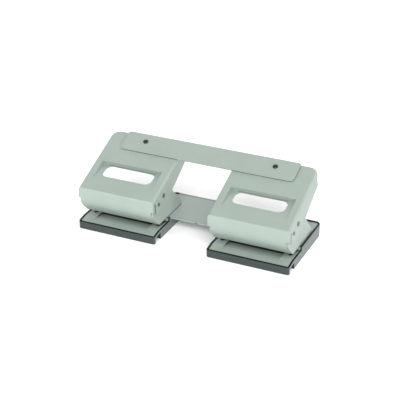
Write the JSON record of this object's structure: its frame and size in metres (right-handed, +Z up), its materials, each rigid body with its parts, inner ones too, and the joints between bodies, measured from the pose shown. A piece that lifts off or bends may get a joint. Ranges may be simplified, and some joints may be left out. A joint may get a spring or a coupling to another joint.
{
  "type": "desk paper punch",
  "caption": "Hand-pressed desk punch: twin-hole punch units side by side, their levers joined by a flat handle bar, on trays that swing down to be emptied.",
  "frame": {"origin": "on the table, midway between the two punch units and midway between the trays' front and rear faces", "axes": "+X along the row of holes to the right as seen from the front, +Y to the back, +Z up"},
  "size_m": [0.257, 0.1, 0.0888],
  "materials": {
    "lever_paint": "sage grey-green paint, satin",
    "sheet_paint": "sage grey-green paint, satin",
    "tray_plastic": "dark grey moulded plastic, matt",
    "bright_steel": "plain turned or rolled steel",
    "dark_steel": "oiled dark steel",
    "spring_wire": "drawn spring wire",
    "black_screws": "black oxide"
  },
  "bodies": {
    "base": {"left_base_plate": "sheet_paint", "right_base_plate": "sheet_paint", "connecting_plate": "sheet_paint", "left_punch_frame": "sheet_paint", "right_punch_frame": "sheet_paint", "left_upper_guide": "bright_steel", "right_upper_guide": "bright_steel", "left_frame_rivets": "bright_steel", "right_frame_rivets": "bright_steel", "left_pivot_pin": "dark_steel", "right_pivot_pin": "dark_steel", "left_outer_spring": "spring_wire", "left_inner_spring": "spring_wire", "right_inner_spring": "spring_wire", "right_outer_spring": "spring_wire"},
    "lever_assembly": {"left_lever": "lever_paint", "right_lever": "lever_paint", "left_pusher_pin": "dark_steel", "right_pusher_pin": "dark_steel", "handle_bar": "lever_paint", "bar_screws": "black_screws", "bar_nuts": "bright_steel"},
    "left_outer_plunger": {"left_outer_punch": "bright_steel", "left_outer_cap": "bright_steel"},
    "left_inner_plunger": {"left_inner_punch": "bright_steel", "left_inner_cap": "bright_steel"},
    "right_inner_plunger": {"right_inner_punch": "bright_steel", "right_inner_cap": "bright_steel"},
    "right_outer_plunger": {"right_outer_punch": "bright_steel", "right_outer_cap": "bright_steel"},
    "left_tray": {"left_chip_tray": "tray_plastic", "left_tray_pin": "bright_steel"},
    "right_tray": {"right_chip_tray": "tray_plastic", "right_tray_pin": "bright_steel"}
  },
  "joints": [
    {"name": "lever_hinge", "type": "hinge", "parent": "base", "child": "lever_assembly", "pos_m": [0, -0.035, 0.0433], "axis": [-1, 0, 0], "range_deg": [0, 25.5], "stiffness_Nm_per_rad": 2, "springref_deg": -17.19},
    {"name": "left_outer_slide", "type": "slide", "parent": "base", "child": "left_outer_plunger", "axis": [0, 0, -1], "range_m": [0, 0.0058], "deforming": ["left_outer_spring"]},
    {"name": "left_inner_slide", "type": "slide", "parent": "base", "child": "left_inner_plunger", "axis": [0, 0, -1], "range_m": [0, 0.0058], "deforming": ["left_inner_spring"]},
    {"name": "right_inner_slide", "type": "slide", "parent": "base", "child": "right_inner_plunger", "axis": [0, 0, -1], "range_m": [0, 0.0058], "deforming": ["right_inner_spring"]},
    {"name": "right_outer_slide", "type": "slide", "parent": "base", "child": "right_outer_plunger", "axis": [0, 0, -1], "range_m": [0, 0.0058], "deforming": ["right_outer_spring"]},
    {"name": "left_tray_hinge", "type": "hinge", "parent": "base", "child": "left_tray", "pos_m": [-0.08, 0.0484, 0.01355], "axis": [1, 0, 0], "range_deg": [0, 30]},
    {"name": "right_tray_hinge", "type": "hinge", "parent": "base", "child": "right_tray", "pos_m": [0.08, 0.0484, 0.01355], "axis": [1, 0, 0], "range_deg": [0, 30]}
  ],
  "couplings": [
    {"joint": "left_outer_slide", "follows": "lever_hinge", "m_per_rad": 0.013},
    {"joint": "left_inner_slide", "follows": "lever_hinge", "m_per_rad": 0.013},
    {"joint": "right_inner_slide", "follows": "lever_hinge", "m_per_rad": 0.013},
    {"joint": "right_outer_slide", "follows": "lever_hinge", "m_per_rad": 0.013}
  ]
}
